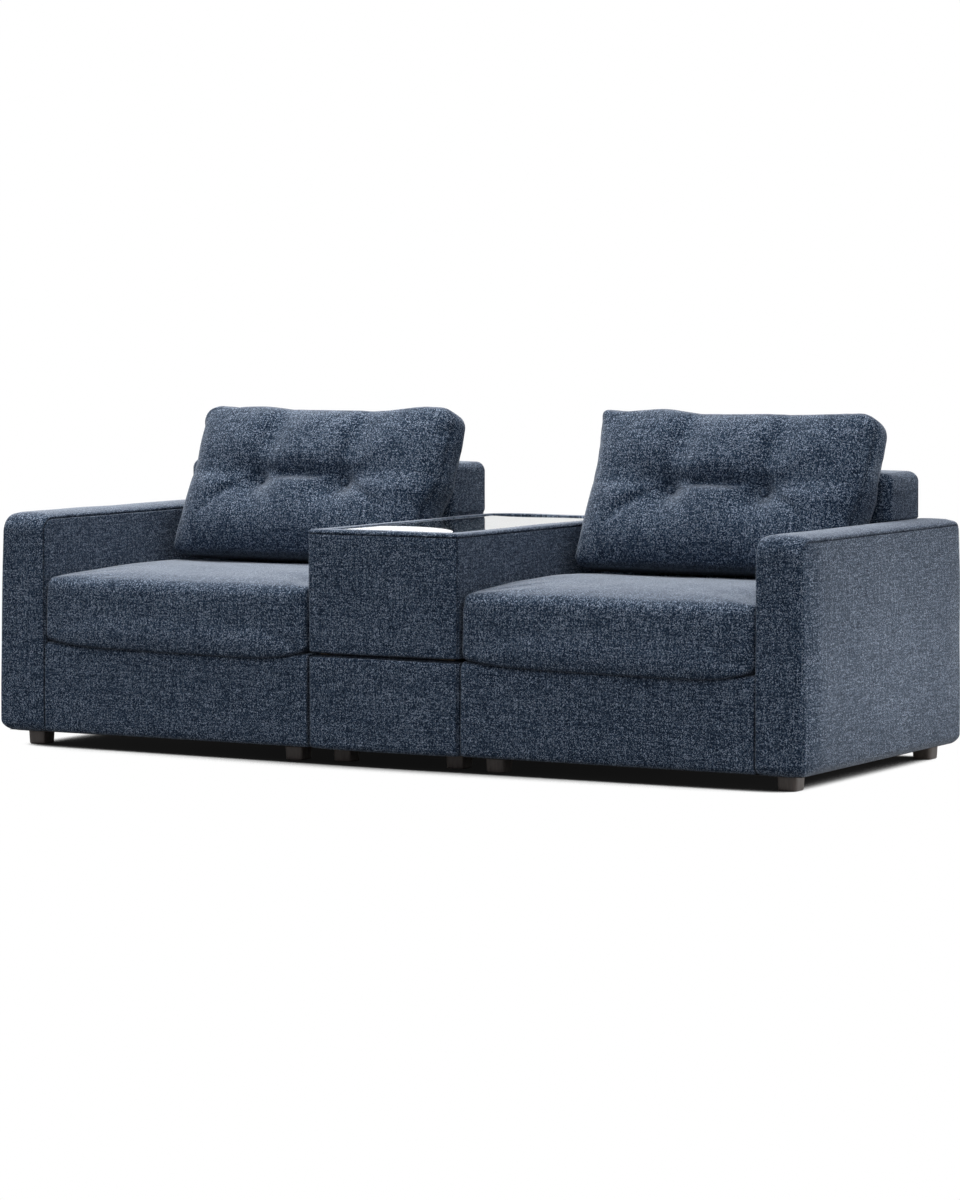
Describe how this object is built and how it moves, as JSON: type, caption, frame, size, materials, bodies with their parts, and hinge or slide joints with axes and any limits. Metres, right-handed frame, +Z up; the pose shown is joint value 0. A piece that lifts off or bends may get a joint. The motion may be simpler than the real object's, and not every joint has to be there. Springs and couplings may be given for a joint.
{
  "type": "modular sofa with console",
  "caption": "Upholstered modular sofa: armchair modules with loose seat cushions and leaning button-tufted back cushions, hooked to a console with an inset glass top.",
  "frame": {"origin": "on the floor, under the middle of the sofa's overall box", "axes": "+X along the sofa's width to the right as seen from the front, +Y from the front to the back, +Z up"},
  "size_m": [2.4, 0.958, 0.9239],
  "materials": {
    "fabric": "matte",
    "timber": "matte",
    "leg_wood": "satin",
    "spring_steel": "satin",
    "bracket_steel": "satin",
    "dust_cloth": "matte",
    "bed_board": "matte",
    "glass": "polished"
  },
  "bodies": {
    "console": {"console_base_cover": "fabric", "console_base_frame": "timber", "console_box_cover": "fabric", "console_carcass": "timber", "console_catch_left_front": "bracket_steel", "console_catch_left_rear": "bracket_steel", "console_catch_right_front": "bracket_steel", "console_catch_right_rear": "bracket_steel", "console_dust_cover": "dust_cloth", "console_glass_bed": "bed_board", "console_glass_top": "glass", "console_leg_front_left": "leg_wood", "console_leg_front_right": "leg_wood", "console_leg_rear_left": "leg_wood", "console_leg_rear_right": "leg_wood"},
    "left_chair": {"left_arm_cover": "fabric", "left_arm_frame": "timber", "left_back_cover": "fabric", "left_back_frame": "timber", "left_base_cover": "fabric", "left_base_frame": "timber", "left_dust_cover": "dust_cloth", "left_hook_front": "bracket_steel", "left_hook_rear": "bracket_steel", "left_leg_front_left": "leg_wood", "left_leg_front_right": "leg_wood", "left_leg_rear_left": "leg_wood", "left_leg_rear_right": "leg_wood", "left_spring_unit": "spring_steel"},
    "left_seat_cushion": {"left_seat_cushion": "fabric"},
    "left_back_cushion": {"left_back_cushion": "fabric", "left_tuft_button_left": "fabric", "left_tuft_button_right": "fabric"},
    "right_chair": {"right_arm_cover": "fabric", "right_arm_frame": "timber", "right_back_cover": "fabric", "right_back_frame": "timber", "right_base_cover": "fabric", "right_base_frame": "timber", "right_dust_cover": "dust_cloth", "right_hook_front": "bracket_steel", "right_hook_rear": "bracket_steel", "right_leg_front_left": "leg_wood", "right_leg_front_right": "leg_wood", "right_leg_rear_left": "leg_wood", "right_leg_rear_right": "leg_wood", "right_spring_unit": "spring_steel"},
    "right_seat_cushion": {"right_seat_cushion": "fabric"},
    "right_back_cushion": {"right_back_cushion": "fabric", "right_tuft_button_left": "fabric", "right_tuft_button_right": "fabric"}
  },
  "joints": [
    {"name": "left_chair_lift", "type": "slide", "parent": "console", "child": "left_chair", "axis": [0, 0, 1], "range_m": [0, 0.06]},
    {"name": "left_seat_slide", "type": "slide", "parent": "left_chair", "child": "left_seat_cushion", "axis": [0, -1, 0], "range_m": [0, 0.5]},
    {"name": "left_pillow_lift", "type": "slide", "parent": "left_chair", "child": "left_back_cushion", "axis": [0, 0, 1], "range_m": [0, 0.35]},
    {"name": "right_chair_lift", "type": "slide", "parent": "console", "child": "right_chair", "axis": [0, 0, 1], "range_m": [0, 0.06]},
    {"name": "right_seat_slide", "type": "slide", "parent": "right_chair", "child": "right_seat_cushion", "axis": [0, -1, 0], "range_m": [0, 0.5]},
    {"name": "right_pillow_lift", "type": "slide", "parent": "right_chair", "child": "right_back_cushion", "axis": [0, 0, 1], "range_m": [0, 0.35]}
  ]
}
